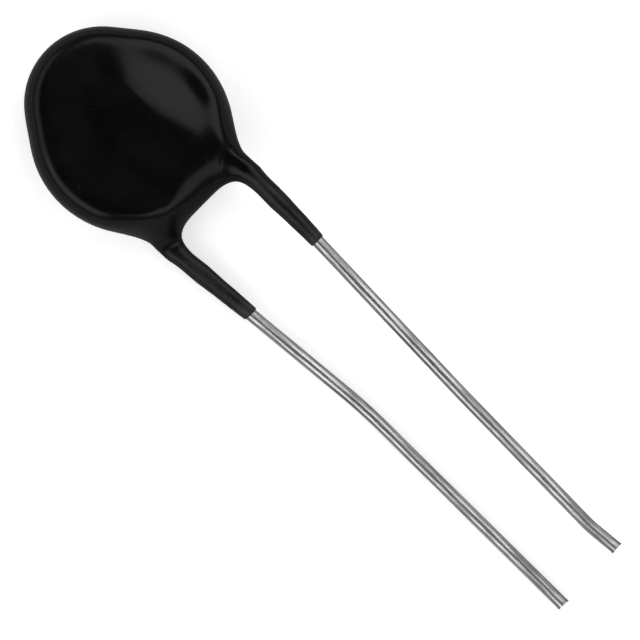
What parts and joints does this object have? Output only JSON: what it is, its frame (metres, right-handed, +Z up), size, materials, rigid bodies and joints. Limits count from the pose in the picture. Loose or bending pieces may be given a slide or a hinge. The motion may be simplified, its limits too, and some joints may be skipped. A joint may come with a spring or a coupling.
{
  "type": "disc thermistor",
  "caption": "Black dip-coated ceramic disc that limits inrush current, with stiff tinned wire leads leaving one edge from opposite faces.",
  "frame": {"origin": "on the surface it lies on, under the middle of the overall box", "axes": "+X runs along the leads from the disc to their tips, +Z points up out of the front face, whose lead is on the +Y side"},
  "size_m": [0.058, 0.0156, 0.0057],
  "materials": {
    "coating": "satin",
    "ceramic": "matte",
    "silver": "matte",
    "solder": "satin",
    "tinned_wire": "satin"
  },
  "bodies": {
    "root": {"coating": "coating", "ceramic_disc": "ceramic", "front_electrode": "silver", "rear_electrode": "silver", "front_solder": "solder", "rear_solder": "solder", "front_lead": "tinned_wire", "rear_lead": "tinned_wire"}
  },
  "joints": []
}
